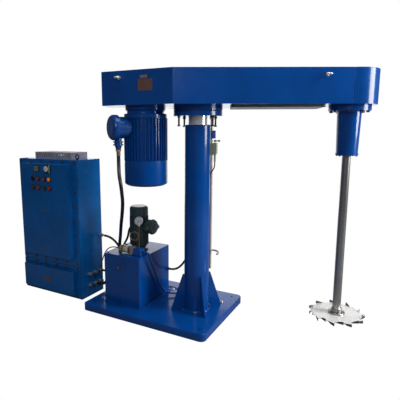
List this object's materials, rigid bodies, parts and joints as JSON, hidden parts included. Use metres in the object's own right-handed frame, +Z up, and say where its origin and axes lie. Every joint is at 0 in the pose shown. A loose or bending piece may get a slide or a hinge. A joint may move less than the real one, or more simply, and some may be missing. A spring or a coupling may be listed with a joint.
{
  "type": "high-speed mixer",
  "caption": "Floor-standing high-speed disperser: hydraulic lifting column, slewing belt-drive head, saw-tooth disc, pump unit and control cabinet.",
  "frame": {"origin": "axis of the lifting column at floor level", "axes": "+Z up, +X along the long side of the base plate, away from the control cabinet"},
  "size_m": [3.2182, 1.2069, 2.1],
  "materials": {
    "paint_blue": "gloss",
    "cast_dark": "satin",
    "chrome_ram": "polished",
    "bright_steel": "brushed",
    "zinc_steel": "satin",
    "core_steel": "satin",
    "cast_iron": "matte",
    "belt_rubber": "matte",
    "brass": "satin",
    "switch_grey": "satin",
    "cable_black": "satin",
    "panel_black": "gloss",
    "fan_plastic": "matte",
    "lamp_red": "gloss",
    "button_green": "gloss",
    "button_red": "gloss"
  },
  "bodies": {
    "base": {"base_plate": "paint_blue", "column_tube": "paint_blue", "column_brackets": "paint_blue", "ram_guides": "paint_blue", "limit_switch": "switch_grey", "tank_shell": "paint_blue", "tank_lid": "paint_blue", "tank_plugs": "brass", "pump_motor": "cast_dark", "gear_pump": "cast_iron", "valve_manifold": "paint_blue", "solenoid_valve": "brass", "gauge_pipe": "brass", "pressure_gauge": "bright_steel", "delivery_pipe": "paint_blue", "return_hose": "cable_black", "cabinet_shell": "paint_blue", "upper_cover": "paint_blue", "lower_cover": "paint_blue", "cabinet_fasteners": "zinc_steel", "vent_box": "paint_blue", "cable_glands": "brass", "panel_instruments": "panel_black", "pilot_lamps": "lamp_red", "button_bezels": "zinc_steel", "motor_conduit": "cable_black", "pump_cable": "cable_black", "valve_cable": "cable_black", "switch_cable": "cable_black"},
    "lift": {"ram": "chrome_ram", "lower_ring": "paint_blue", "slew_fasteners": "zinc_steel", "guide_rod": "bright_steel"},
    "head": {"upper_ring": "paint_blue", "beam_shell": "paint_blue", "beam_cover": "paint_blue", "nose_cover": "paint_blue", "beam_eyebolts": "zinc_steel", "motor_end_bell": "paint_blue", "motor_housing": "paint_blue", "stator_core": "core_steel", "fan_cowl": "paint_blue", "motor_terminal_box": "paint_blue", "spindle_housing": "paint_blue", "flange_bolts": "zinc_steel", "shaft_bearings": "bright_steel", "drive_belts": "belt_rubber"},
    "motor_rotor": {"rotor": "core_steel", "cooling_fan": "fan_plastic", "motor_pulley": "cast_iron"},
    "spindle": {"mixer_shaft": "bright_steel", "disc_nut": "bright_steel", "disperser_disc": "bright_steel", "spindle_pulley": "cast_iron"},
    "start_push": {"start_button": "button_green"},
    "stop_push": {"stop_button": "button_red"},
    "raise_push": {"raise_button": "button_green"},
    "lower_push": {"lower_button": "button_red"},
    "selector": {"selector_knob": "panel_black"},
    "trip_lever": {"switch_lever": "zinc_steel"}
  },
  "joints": [
    {"name": "ram_lift", "type": "slide", "parent": "base", "child": "lift", "axis": [0, 0, 1], "range_m": [0, 0.95]},
    {"name": "head_slew", "type": "hinge", "parent": "lift", "child": "head", "pos_m": [0, 0, 1.79], "axis": [0, 0, 1], "range_deg": [-90, 90]},
    {"name": "motor_spin", "type": "hinge", "parent": "head", "child": "motor_rotor", "pos_m": [-0.40718, -0.17705, 1.746], "axis": [0, 0, 1], "continuous": true},
    {"name": "spindle_spin", "type": "hinge", "parent": "head", "child": "spindle", "pos_m": [1.12065, 0.48727, 1.791], "axis": [0, 0, 1], "continuous": true},
    {"name": "selector_turn", "type": "hinge", "parent": "base", "child": "selector", "pos_m": [-1.624, -0.345, 1.175], "axis": [0, 1, 0], "range_deg": [-45, 45]},
    {"name": "switch_trip", "type": "hinge", "parent": "base", "child": "trip_lever", "pos_m": [0.15052, 0.02115, 1.547], "axis": [0.1392, -0.9903, 0], "range_deg": [0, 12], "stiffness_Nm_per_rad": 0.2},
    {"name": "start_press", "type": "slide", "parent": "base", "child": "start_push", "axis": [0, 1, 0], "range_m": [0, 0.0035], "stiffness_N_per_m": 400},
    {"name": "stop_press", "type": "slide", "parent": "base", "child": "stop_push", "axis": [0, 1, 0], "range_m": [0, 0.0035], "stiffness_N_per_m": 400},
    {"name": "raise_press", "type": "slide", "parent": "base", "child": "raise_push", "axis": [0, 1, 0], "range_m": [0, 0.0035], "stiffness_N_per_m": 400},
    {"name": "lower_press", "type": "slide", "parent": "base", "child": "lower_push", "axis": [0, 1, 0], "range_m": [0, 0.0035], "stiffness_N_per_m": 400}
  ],
  "couplings": [
    {"joint": "motor_spin", "follows": "spindle_spin", "ratio": 1.1649}
  ]
}
